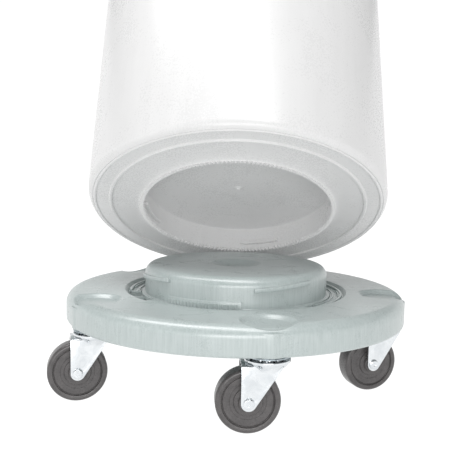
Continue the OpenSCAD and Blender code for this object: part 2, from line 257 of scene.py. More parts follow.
@dataclass(frozen=True)
class TreadFinish:
    """Hard moulded polyolefin wheel: turned rings round the axle, mottling and scuffed tread."""

    name: str
    centre: Vector
    heading: float
    pale: str = "#555252"
    deep: str = "#434141"
    ring_mm: float = 1.6
    ring_height_mm: float = 0.05

    def make(self) -> bpy.types.Material:
        """Build the material.

        Returns:
            The finished node material.
        """
        material, tree, shader = blank(self.name)
        where = local_coords(tree, self.centre, (0.0, 0.0, self.heading))
        split = put(tree, "ShaderNodeSeparateXYZ", {0: where})
        disc = put(tree, "ShaderNodeCombineXYZ", {0: split.outputs[0], 2: split.outputs[2]})
        radius = put(tree, "ShaderNodeVectorMath", {0: disc.outputs[0]}, operation="LENGTH")
        phase = put(tree, "ShaderNodeMath", {0: radius.outputs["Value"], 1: math.tau / (self.ring_mm * MM)}, operation="MULTIPLY")
        rings = put(tree, "ShaderNodeMath", {0: phase.outputs[0]}, operation="SINE")
        mottle = put(tree, "ShaderNodeTexNoise", {"Vector": where, "Scale": 1 / (9 * MM), "Detail": 5.0, "Roughness": 0.65})
        grit = put(tree, "ShaderNodeTexNoise", {"Vector": where, "Scale": 1 / (1.2 * MM), "Detail": 2.0})
        share = put(tree, "ShaderNodeMapRange", {"Value": mottle.outputs["Fac"], "From Min": 0.3, "From Max": 0.7})
        tint = put(tree, "ShaderNodeMix", {0: share.outputs[0], 6: linear(self.deep), 7: linear(self.pale)}, data_type="RGBA")
        tree.links.new(tint.outputs[2], shader.inputs["Base Color"])
        rough = put(
            tree, "ShaderNodeMapRange",
            {"Value": grit.outputs["Fac"], "From Min": 0.3, "From Max": 0.7, "To Min": 0.22, "To Max": 0.4},
        )
        tree.links.new(rough.outputs[0], shader.inputs["Roughness"])
        relief = put(tree, "ShaderNodeMath", {0: rings.outputs[0], 1: 0.3, 2: grit.outputs["Fac"]}, operation="MULTIPLY_ADD")
        bump = put(tree, "ShaderNodeBump", {"Height": relief.outputs[0], "Strength": 1.0, "Distance": self.ring_height_mm * MM})
        tree.links.new(bump.outputs[0], shader.inputs["Normal"])
        return material


# ---------------------------------------------------------------- modelling bench


class Bench:
    """Modelling moves that the sub-assemblies share."""

    @staticmethod
    def clear() -> None:
        """Leave edit mode and select nothing."""
        if bpy.context.mode != "OBJECT":
            bpy.ops.object.mode_set(mode="OBJECT")
        bpy.ops.object.select_all(action="DESELECT")

    @staticmethod
    def hold(*objects: bpy.types.Object) -> None:
        """Select these objects, the first one active."""
        Bench.clear()
        for obj in objects:
            obj.select_set(True)
        bpy.context.view_layer.objects.active = objects[0]

    @staticmethod
    def edit(obj: bpy.types.Object, mode: str = "VERT") -> None:
        """Enter edit mode on one object with everything selected."""
        Bench.hold(obj)
        bpy.ops.object.mode_set(mode="EDIT")
        bpy.ops.mesh.select_mode(type=mode)
        bpy.ops.mesh.select_all(action="SELECT")

    @staticmethod
    def chain(points: Sequence[Point], closed: bool) -> bpy.types.Object:
        """Draw a chain of edges in the XZ plane, vertex by vertex.

        Args:
            points: the chain's (x, z) points.
            closed: True to join the last point to the first.

        Returns:
            The new object.
        """
        Bench.clear()
        bpy.ops.mesh.primitive_plane_add(size=MM, location=(0, 0, 0))
        obj = bpy.context.object
        Bench.edit(obj)
        bpy.ops.mesh.merge(type="CENTER")
        bpy.ops.transform.translate(value=(points[0][0], 0, points[0][1]))
        for (ax, az), (bx, bz) in zip(points, points[1:]):
            bpy.ops.mesh.extrude_region_move(TRANSFORM_OT_translate={"value": (bx - ax, 0, bz - az)})
        if closed:
            mesh = bmesh.from_edit_mesh(obj.data)
            mesh.verts.ensure_lookup_table()
            mesh.verts[0].select_set(True)
            bmesh.update_edit_mesh(obj.data)
            bpy.ops.mesh.edge_face_add()
        bpy.ops.object.mode_set(mode="OBJECT")
        return obj

    @staticmethod
    def close_up(obj: bpy.types.Object, gap: float = 0.002 * MM) -> None:
        """Merge doubles, fill open ends and point the faces outwards."""
        Bench.edit(obj)
        bpy.ops.mesh.remove_doubles(threshold=gap)
        bpy.ops.mesh.fill_holes(sides=0)
        bpy.ops.mesh.select_all(action="SELECT")
        bpy.ops.mesh.normals_make_consistent(inside=False)
        bpy.ops.object.mode_set(mode="OBJECT")

    @staticmethod
    def lathe(name: str, points: Sequence[Point], steps: int, span: float = math.tau, start: float = 0.0) -> bpy.types.Object:
        """Spin a chain round the Z axis.

        Args:
            name: the piece's name.
            points: (radius, height) points; a chain that doesn't end on the axis is closed.
            steps: number of steps.
            span: angle swept, in radians.
            start: angle of the first step, in radians.

        Returns:
            The closed piece.
        """
        on_axis = abs(points[0][0]) < 1e-7 and abs(points[-1][0]) < 1e-7
        obj = Bench.chain(points, closed=not on_axis)
        obj.name = name
        Bench.edit(obj)
        bpy.ops.mesh.spin(steps=steps, angle=-span, center=(0, 0, 0), axis=(0, 0, 1))
        bpy.ops.object.mode_set(mode="OBJECT")
        Bench.close_up(obj)
        if start:
            obj.data.transform(Matrix.Rotation(start, 4, "Z"))
        return obj

    @staticmethod
    def slab(name: str, points: Sequence[Point], thick: float) -> bpy.types.Object:
        """Fill a closed outline in the XZ plane and pull it out along Y, centred on Y = 0.

        Args:
            name: the piece's name.
            points: the outline's (x, z) points.
            thick: thickness along Y.

        Returns:
            The closed piece.
        """
        obj = Bench.chain(points, closed=True)
        obj.name = name
        Bench.edit(obj)
        bpy.ops.mesh.edge_face_add()
        bpy.ops.mesh.extrude_region_move(TRANSFORM_OT_translate={"value": (0, thick, 0)})
        bpy.ops.mesh.select_all(action="SELECT")
        bpy.ops.transform.translate(value=(0, -thick / 2, 0))
        bpy.ops.object.mode_set(mode="OBJECT")
        Bench.close_up(obj)
        return obj

    @staticmethod
    def apply(obj: bpy.types.Object, kind: str, **settings) -> None:
        """Add a modifier, set it and apply it.

        Args:
            obj: the object.
            kind: the modifier's type.
            **settings: its attributes.
        """
        Bench.hold(obj)
        bpy.ops.object.modifier_add(type=kind)
        modifier = obj.modifiers[-1]
        for key, value in settings.items():
            setattr(modifier, key, value)
        bpy.ops.object.modifier_apply(modifier=modifier.name)

    @staticmethod
    def ease(obj: bpy.types.Object, width: float, segments: int = 2, angle: float = 35.0) -> None:
        """Round the sharp edges of a piece."""
        Bench.apply(
            obj, "BEVEL", width=width, segments=segments, limit_method="ANGLE",
            angle_limit=math.radians(angle), miter_outer="MITER_ARC",
        )

    @staticmethod
    def carve(obj: bpy.types.Object, tool: bpy.types.Object, operation: str = "DIFFERENCE") -> None:
        """Cut a tool out of a piece, join it or keep what they share; the tool is used up."""
        Bench.apply(obj, "BOOLEAN", operation=operation, solver="EXACT", object=tool)
        bpy.data.objects.remove(tool)

    @staticmethod
    def fuse(name: str, objects: Sequence[bpy.types.Object]) -> bpy.types.Object:
        """Join several pieces into one object."""
        Bench.hold(*objects)
        bpy.ops.object.join()
        objects[0].name = name
        return objects[0]

    @staticmethod
    def twin(obj: bpy.types.Object, name: str, matrix: Matrix) -> bpy.types.Object:
        """Copy a piece with its own mesh, moved by a matrix.

        Args:
            obj: the piece to copy.
            name: the copy's name.
            matrix: where the copy goes.

        Returns:
            The copy, at the origin with its place in its mesh.
        """
        copy = obj.copy()
        copy.data = obj.data.copy()
        copy.name = name
        copy.data.transform(matrix)
        bpy.context.scene.collection.objects.link(copy)
        return copy

    @staticmethod
    def block(name: str, low: Sequence[float], high: Sequence[float]) -> bpy.types.Object:
        """A box between two corners, its place in its mesh."""
        Bench.clear()
        middle = [(a + b) / 2 for a, b in zip(low, high)]
        bpy.ops.mesh.primitive_cube_add(size=1.0, location=middle)
        obj = bpy.context.object
        obj.name = name
        obj.scale = [b - a for a, b in zip(low, high)]
        bpy.ops.object.transform_apply(location=True, rotation=True, scale=True)
        return obj

    @staticmethod
    def rod(name: str, radius: float, low: float, high: float, sides: int = 48, at: Point = (0.0, 0.0)) -> bpy.types.Object:
        """An upright cylinder or prism between two heights, its place in its mesh."""
        Bench.clear()
        bpy.ops.mesh.primitive_cylinder_add(
            vertices=sides, radius=radius, depth=high - low, location=(at[0], at[1], (low + high) / 2)
        )
        obj = bpy.context.object
        obj.name = name
        bpy.ops.object.transform_apply(location=True, rotation=True, scale=True)
        return obj

    @staticmethod
    def smooth(obj: bpy.types.Object, angle: float = 30.0) -> None:
        """Shade smooth where faces meet at less than an angle."""
        Bench.hold(obj)
        bpy.ops.object.shade_smooth_by_angle(angle=math.radians(angle))

    @staticmethod
    def finish(
        obj: bpy.types.Object, material: bpy.types.Material, body: str, slot: Slot,
        stands_for: Iterable[str] = (), angle: float = 30.0,
    ) -> bpy.types.Object:
        """Smooth a piece, dress it and hang it on its body.

        Args:
            obj: the finished mesh.
            material: its finish.
            body: the CAD body that it rides on.
            slot: the record's material slot; not used.
            stands_for: CAD nodes that it replaces.
            angle: sharpest angle that is still shaded smooth, in degrees.

        Returns:
            The same object.
        """
        Bench.smooth(obj, angle)
        obj.data.materials.clear()
        obj.data.materials.append(material)
        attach(obj, body)
        if stands_for:
            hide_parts(*stands_for)
        log.info("%-18s %6d faces on %s", obj.name, len(obj.data.polygons), body)
        return obj


def rounded(corners: Sequence[Corner], closed: bool = False, grain: float = 12.0) -> list[Point]:
    """Round the corners of an outline.

    Args:
        corners: (x, z, radius of the round) of each corner.
        closed: True if the outline closes on itself.
        grain: angle of one step of a round, in degrees.

    Returns:
        The outline's points.
    """
    points: list[Point] = []
    count = len(corners)
    for i, (x, z, round_r) in enumerate(corners):
        here = Vector((x, z))
        if round_r <= 0 or (not closed and i in (0, count - 1)):
            points.append((x, z))
            continue
        back = (Vector(corners[i - 1][:2]) - here)
        ahead = (Vector(corners[(i + 1) % count][:2]) - here)
        opening = back.angle(ahead)
        if math.pi - opening < 1e-4:
            points.append((x, z))
            continue
        cut = min(round_r / math.tan(opening / 2), 0.999 * back.length, 0.999 * ahead.length)
        real_r = cut * math.tan(opening / 2)
        middle = here + (back.normalized() + ahead.normalized()).normalized() * (real_r / math.sin(opening / 2))
        first = here + back.normalized() * cut - middle
        last = here + ahead.normalized() * cut - middle
        sweep = first.angle_signed(last)
        steps = max(2, math.ceil(math.degrees(abs(sweep)) / grain))
        for k in range(steps + 1):
            turn = -sweep * k / steps
            c, s = math.cos(turn), math.sin(turn)
            points.append((middle.x + first.x * c - first.y * s, middle.y + first.x * s + first.y * c))
    return points


# ---------------------------------------------------------------- the dolly's deck


@dataclass
class Deck:
    """The moulded deck: shell with hub, moat and pockets, lugs, ratchets, tongues and ribs."""

    material: bpy.types.Material
    axis: Vector
    casters: list[Vector]
    radius: float = 0.232
    top: float = 0.130
    rim_bottom: float = 0.0925
    rim_round: float = 0.015
    wall: float = 0.005
    hub_radius: float = 0.126
    hub_top: float = 0.165
    hub_round: float = 0.013
    moat_radius: float = 0.150
    moat_floor: float = 0.1255
    dish_radius: float = 0.035
    dish_floor: float = 0.019
    dish_depth: float = 0.0065
    pocket_radius: float = 0.033
    pocket_depth: float = 0.014
    pocket_shift: float = 0.002
    seat_z: float = 0.104
    seat_radius: float = 0.012
    windows: tuple = ((-48, 41), (144, 215))
    window_in: float = 0.1305
    window_out: float = 0.1495
    lug_out: float = 0.0036
    lug_z: float = 0.1518
    lug_slope: float = math.radians(4)
    lug_span: float = math.radians(37.6)
    lug_first: float = math.radians(29.8 - 90)
    band_span: float = math.radians(46)
    band_first: float = math.radians(-42 - 90)
    tooth_step: float = math.radians(2.2)

    def build(self) -> None:
        """Build every piece of the deck and hang it on the dolly."""
        self.shell()
        self.lugs()
        self.ratchets()
        self.tongues()
        self.stiffening()

    def done(self, obj: bpy.types.Object, stands_for: Iterable[str] = (), angle: float = 30.0) -> None:
        """Move a piece from the dolly's axis to its place and dress it."""
        obj.data.transform(Matrix.Translation((self.axis.x, self.axis.y, 0)))
        Bench.finish(obj, self.material, "dolly", Slot.GREY, stands_for, angle)

    def section(self) -> list[Point]:
        """Cross-section of the shell, from the dish's middle over the rim and back underneath.

        Returns:
            (radius, height) points.
        """
        dish = [(0, self.hub_top - self.dish_depth, 0), (self.dish_floor, self.hub_top - self.dish_depth, 0.015)]
        flats = [(r * MM, self.top, 0.0) for r in range(162, 217, 3)]
        skin = self.top - self.wall
        low_skin = self.moat_floor - self.wall
        inner = self.hub_radius - self.wall
        return rounded([
            *dish,
            (self.dish_radius, self.hub_top, 0.003),
            (self.hub_radius, self.hub_top, self.hub_round),
            (self.hub_radius, self.moat_floor, 0.0012),
            (self.window_in, self.moat_floor, 0),
            (self.window_out, self.moat_floor, 0),
            (self.moat_radius, self.moat_floor, 0.0004),
            (self.moat_radius + 0.0035, self.top, 0.0015),
            *flats,
            (self.radius, self.top, self.rim_round),
            (self.radius, self.rim_bottom, 0.0042),
            (self.radius - self.wall, self.rim_bottom, 0.0006),
            (self.radius - self.wall, skin, self.rim_round - self.wall),
            (self.moat_radius + 0.008, skin, 0.002),
            (self.moat_radius + 0.008, low_skin, 0.002),
            (self.window_out, low_skin, 0),
            (self.window_in, low_skin, 0),
            (inner, low_skin, 0.0015),
            (inner, self.hub_top - 0.0075, 0.008),
            (0, self.hub_top - 0.0075, 0),
        ], grain=9)

    def shell(self) -> None:
        """The lathe-turned shell with its two windows cut and its five pockets pressed in."""
        obj = Bench.lathe("deck_shell", self.section(), 360)
        self.cut_windows(obj)
        Bench.ease(obj, 0.0008, 2, 50)
        self.press_pockets(obj)
        self.done(obj, ["deck"], 40)

    def in_window(self, place: Vector, window: tuple[int, int]) -> bool:
        """Whether a point lies over a window."""
        reach = math.hypot(place.x, place.y)
        turn = (math.degrees(math.atan2(place.y, place.x)) - window[0]) % 360
        return self.window_in - 1e-5 < reach < self.window_out + 1e-5 and turn < window[1] - window[0] + 1e-3

    def cut_windows(self, obj: bpy.types.Object) -> None:
        """Delete both skins over each window and bridge the two rims."""
        for window in self.windows:
            Bench.edit(obj, "FACE")
            bpy.ops.mesh.select_all(action="DESELECT")
            mesh = bmesh.from_edit_mesh(obj.data)
            for face in mesh.faces:
                middle = face.calc_center_median()
                flat = abs(middle.z - self.moat_floor) < 1e-5 or abs(middle.z - self.moat_floor + self.wall) < 1e-5
                face.select_set(flat and self.in_window(middle, window))
            bmesh.update_edit_mesh(obj.data)
            bpy.ops.mesh.delete(type="FACE")
            bpy.ops.mesh.select_mode(type="EDGE")
            bpy.ops.mesh.select_non_manifold(extend=False)
            bpy.ops.mesh.bridge_edge_loops()
            bpy.ops.object.mode_set(mode="OBJECT")
        Bench.close_up(obj)

    def press_pockets(self, obj: bpy.types.Object) -> None:
        """Refine the skin over each caster and press a round pocket and a flat seat into it."""
        ball = (self.pocket_radius**2 + self.pocket_depth**2) / (2 * self.pocket_depth)
        ball_z = self.top - self.pocket_depth + ball
        reach = self.pocket_radius + 0.004
        spots = []
        for swivel in self.casters:
            out = Vector((swivel.x - self.axis.x, swivel.y - self.axis.y, 0))
            spots.append((out, out - out.normalized() * self.pocket_shift))
        Bench.edit(obj, "FACE")
        bpy.ops.mesh.select_all(action="DESELECT")
        mesh = bmesh.from_edit_mesh(obj.data)
        for face in mesh.faces:
            middle = face.calc_center_median()
            flat = Vector((middle.x, middle.y, 0))
            up = face.normal.z > 0.15 and middle.z > self.top - self.rim_round
            face.select_set(up and any((flat - spot).length < reach for _, spot in spots))
        bmesh.update_edit_mesh(obj.data)
        bpy.ops.mesh.subdivide(number_cuts=3)
        mesh = bmesh.from_edit_mesh(obj.data)
        mesh.normal_update()
        for vert in mesh.verts:
            if vert.normal.z < 0.1 or vert.co.z < self.top - self.rim_round:
                continue
            flat = Vector((vert.co.x, vert.co.y, 0))
            for seat, spot in spots:
                d = (flat - spot).length
                if d < ball * 0.95:
                    vert.co.z = self.soft_min(vert.co.z, ball_z - math.sqrt(ball**2 - d**2), 0.0016)
                    step = max(0.0, (flat - seat).length - self.seat_radius)
                    vert.co.z = self.soft_min(vert.co.z, self.seat_z + step * 3, 0.0006)
        bmesh.update_edit_mesh(obj.data)
        bpy.ops.object.mode_set(mode="OBJECT")

    @staticmethod
    def soft_min(a: float, b: float, blend: float) -> float:
        """The lower of two heights, with a soft edge where they cross."""
        near = max(blend - abs(a - b), 0.0) / blend
        return min(a, b) - near * near * blend / 4

    def lugs(self) -> None:
        """Four ramped lugs round the hub."""
        inside, out = self.hub_radius - 0.006, self.hub_radius + self.lug_out
        outline = rounded([
            (inside, -0.00275, 0), (out, -0.00275, 0.0009), (out, 0.00275, 0.0014), (inside, 0.00275, 0),
        ], closed=True, grain=20)
        lug = Bench.lathe("lug", outline, 24, self.lug_span, -self.lug_span / 2)
        Bench.ease(lug, 0.0009, 3, 50)
        parts = []
        for k in range(4):
            turn = Matrix.Rotation(self.lug_first + k * math.pi / 2, 4, "Z")
            place = turn @ Matrix.Translation((0, 0, self.lug_z)) @ Matrix.Rotation(self.lug_slope, 4, "X")
            parts.append(Bench.twin(lug, f"lug_{k}", place))
        bpy.data.objects.remove(lug)
        self.done(Bench.fuse("deck_lugs", parts), angle=50)

    def ratchets(self) -> None:
        """Two stepped bands at the hub's foot, each with a row of small sloping teeth."""
        band_r, band_top = self.hub_radius + 0.0016, self.top + 0.0048
        foot = self.moat_floor - 0.001
        outline = rounded([
            (self.hub_radius - 0.003, foot, 0), (band_r, foot, 0), (band_r, band_top, 0.0006),
            (self.hub_radius - 0.003, band_top, 0),
        ], closed=True, grain=30)
        band = Bench.lathe("band", outline, 46, self.band_span)
        Bench.ease(band, 0.0004, 1, 50)
        inner, tip = band_r - 0.0003, band_r + 0.0019
        step = self.tooth_step
        ramp = [(inner, 0.0), (tip * math.cos(step * 0.55), tip * math.sin(step * 0.55)),
                (inner * math.cos(step), inner * math.sin(step))]
        tooth = Bench.slab("tooth", ramp, self.top + 0.0014 - foot)
        tooth.data.transform(Matrix.Translation((0, 0, (self.top + 0.0014 + foot) / 2)) @ Matrix.Rotation(-math.pi / 2, 4, "X"))
        Bench.close_up(tooth)
        parts = []
        for side in range(2):
            start = self.band_first + side * math.pi
            parts.append(Bench.twin(band, f"band_{side}", Matrix.Rotation(start, 4, "Z")))
            for k in range(int(self.band_span / step)):
                parts.append(Bench.twin(tooth, f"tooth_{side}_{k}", Matrix.Rotation(start + k * step, 4, "Z")))
        for obj in (band, tooth):
            bpy.data.objects.remove(obj)
        self.done(Bench.fuse("deck_ratchets", parts), angle=35)

    def tongues(self) -> None:
        """Sprung latch tongues across the windows: strip, two ribs and a latch bump."""
        parts = []
        floor = self.moat_floor
        for start, end in ((-40, 36), (150, 187)):
            middle = (start + end) / 2
            strips = [
                (start, end, self.window_in + 0.0008, self.window_out - 0.0008, floor - 0.004, floor - 0.0008),
                (start, end, self.window_in + 0.003, self.window_in + 0.0055, floor - 0.004, floor + 0.0005),
                (start, end, self.window_in + 0.0085, self.window_in + 0.0100, floor - 0.004, floor - 0.0003),
                (start, end, self.window_out - 0.0055, self.window_out - 0.002, floor - 0.004, floor + 0.0022),
                (middle - 7, middle + 7, self.window_in + 0.011, self.window_out - 0.004, floor - 0.004, floor + 0.001),
                (middle - 9, middle + 9, self.window_out - 0.003, self.window_out + 0.001, floor - 0.004, floor - 0.0005),
            ]
            for first, last, r0, r1, z0, z1 in strips:
                outline = rounded([(r0, z0, 0), (r1, z0, 0), (r1, z1, 0.0005), (r0, z1, 0.0005)], closed=True, grain=45)
                strip = Bench.lathe("strip", outline, max(6, round((last - first) / 2)), math.radians(last - first), math.radians(first))
                Bench.ease(strip, 0.0004, 1, 50)
                parts.append(strip)
        self.done(Bench.fuse("deck_tongues", parts), angle=35)

    def stiffening(self) -> None:
        """Ribs, caster bosses and the hub's lower ring, on the underside."""
        parts = []
        for i, swivel in enumerate(self.casters):
            out = Vector((swivel.x - self.axis.x, swivel.y - self.axis.y))
            turn = math.atan2(out.y, out.x)
            boss = Bench.lathe("boss", rounded([
                (0.0062, self.rim_bottom, 0.0004), (0.0285, self.rim_bottom, 0.0015), (0.0285, 0.1212, 0.0004),
                (0.0240, 0.1192, 0.001), (0.0165, 0.1150, 0.001), (0.0128, 0.1033, 0.0004), (0.0062, 0.1033, 0.0003),
            ], closed=True, grain=30), 64)
            boss.data.transform(Matrix.Translation((out.x, out.y, 0)))
            parts.append(boss)
            for k in (-1, 0, 1):
                rib = Bench.block("rib", (self.hub_radius - 0.014, -0.0015, self.rim_bottom + 0.006), (self.radius - 0.006, 0.0015, self.moat_floor - 0.003))
                Bench.ease(rib, 0.0006, 2, 60)
                rib.data.transform(Matrix.Rotation(turn + math.radians(36 + 24 * k), 4, "Z"))
                parts.append(rib)
        outline = rounded([
            (self.hub_radius - 0.005, self.rim_bottom + 0.004, 0.001), (self.hub_radius - 0.001, self.rim_bottom + 0.004, 0.001),
            (self.hub_radius - 0.001, self.moat_floor - 0.003, 0), (self.hub_radius - 0.005, self.moat_floor - 0.003, 0),
        ], closed=True, grain=30)
        parts.append(Bench.lathe("ring", outline, 128))
        self.done(Bench.fuse("deck_ribs", parts), angle=35)


# ---------------------------------------------------------------- casters


def hex_radius(flats: float) -> float:
    """Corner radius of a hexagon from its width across flats."""
    return flats / 2 / math.cos(math.pi / 6)


@dataclass
class Hardware:
    """Bolts, nuts and washers that hold the casters, and the upper races with them."""

    zinc: bpy.types.Material
    # darker copy of the zinc for the race plates; its darker, bluer colour is painted shade and painted dark reflection
    painted_shade_zinc: bpy.types.Material
    casters: list[Matrix]
    shank: float = 0.006
    bolt_top: float = 0.117
    crown: float = 0.07935
    seat_z: float = 0.104
    across: float = 0.018
    race_bottom: float = 0.090
    race_radius: float = 0.0275
    thread: float = 0.00175

    def build(self) -> None:
        """Model one of each and copy it to every caster."""
        self.spread("king_bolt", self.bolt(), self.zinc)
        self.spread("king_nut", self.nut(self.across, self.shank, self.seat_z + 0.0016, 0.0094), self.zinc)
        self.spread("king_washer", self.washer(), self.zinc)
        # the race plates get the darker zinc: painted shade and painted dark reflection
        self.spread("race_plate", self.race(), self.painted_shade_zinc)

    def spread(self, name: str, obj: bpy.types.Object, material: bpy.types.Material) -> None:
        """Copy a piece to each caster, fuse the copies and dress them."""
        parts = [Bench.twin(obj, f"{name}_{i}", place) for i, place in enumerate(self.casters)]
        bpy.data.objects.remove(obj)
        fused = Bench.fuse(f"{name}_set", parts)
        Bench.finish(fused, material, "dolly", Slot.ZINC, [f"{name}s"], 35)

    @staticmethod
    def chamfered_hex(name: str, across: float, low: float, high: float, top: bool = True) -> bpy.types.Object:
        """A hexagon whose corners are turned off at one end."""
        corner = hex_radius(across)
        hexagon = Bench.rod(name, corner, low, high, 6)
        flat = across / 2 * 0.97
        drop = (corner - flat) * 0.55
        heights = [(0, low - MM, 0), (corner * 1.02, low - MM, 0), (corner * 1.02, high - drop, 0), (flat, high + 1e-5, 0), (0, high + 1e-5, 0)]
        if not top:
            heights = [(0, low - 1e-5, 0), (flat, low - 1e-5, 0), (corner * 1.02, low + drop, 0), (corner * 1.02, high + MM, 0), (0, high + MM, 0)]
        cone = Bench.lathe("cone", rounded(heights), 48)
        Bench.carve(hexagon, cone, "INTERSECT")
        return hexagon

    @staticmethod
    def nut(across: float, bore: float, low: float, height: float) -> bpy.types.Object:
        """A chamfered hexagon nut with a countersunk bore."""
        body = Hardware.chamfered_hex("nut", across, low, low + height)
        hole = Bench.lathe("hole", rounded([
            (0, low - MM, 0), (bore, low - MM, 0), (bore, low + height - 0.0007, 0), (bore + 0.0008, low + height + 1e-4, 0),
            (0, low + height + 1e-4, 0),
        ]), 40)
        Bench.carve(body, hole)
        Bench.ease(body, 0.0002, 2, 30)
        return body

    def bolt(self) -> bpy.types.Object:
        """A hexagon-head bolt, head down, with its threaded end up."""
        head = self.chamfered_hex("head", self.across, self.crown - 0.0043, self.crown - 0.0003, top=False)
        Bench.ease(head, 0.0002, 2, 30)
        points: list[Corner] = [(0, self.crown - 0.001, 0), (self.shank, self.crown - 0.001, 0)]
        z = self.seat_z
        while z < self.bolt_top - 1.2 * self.thread:
            points += [(self.shank, z, 0), (self.shank - 0.0008, z + self.thread / 2, 0)]
            z += self.thread
        points += [(self.shank, z, 0), (self.shank, self.bolt_top - 0.0009, 0), (self.shank - 0.0009, self.bolt_top, 0), (0, self.bolt_top, 0)]
        return Bench.fuse("bolt", [Bench.lathe("shank", rounded(points), 40), head])

    def washer(self) -> bpy.types.Object:
        """A flat washer with eased edges."""
        z0, z1 = self.seat_z, self.seat_z + 0.0016
        return Bench.lathe("washer", rounded([
            (self.shank + 0.0002, z0, 0.0002), (0.011, z0, 0.0004), (0.011, z1, 0.0006), (self.shank + 0.0002, z1, 0.0004),
        ], closed=True, grain=30), 64)

    def race(self) -> bpy.types.Object:
        """The pressed upper race, with a rolled edge and a ball track underneath."""
        z0, z1, r = self.race_bottom, self.race_bottom + 0.0025, self.race_radius
        return Bench.lathe("race", rounded([
            (self.shank + 0.0002, z0 + 0.0002, 0.0003), (0.0166, z0, 0.0004), (0.0178, z0 + 0.0005, 0.0006), (0.0202, z0 + 0.0005, 0.0006),
            (0.0214, z0, 0.0004), (r, z0, 0.0009), (r, z1, 0.0012), (self.shank + 0.0002, z1, 0.0004),
        ], closed=True, grain=30), 96)


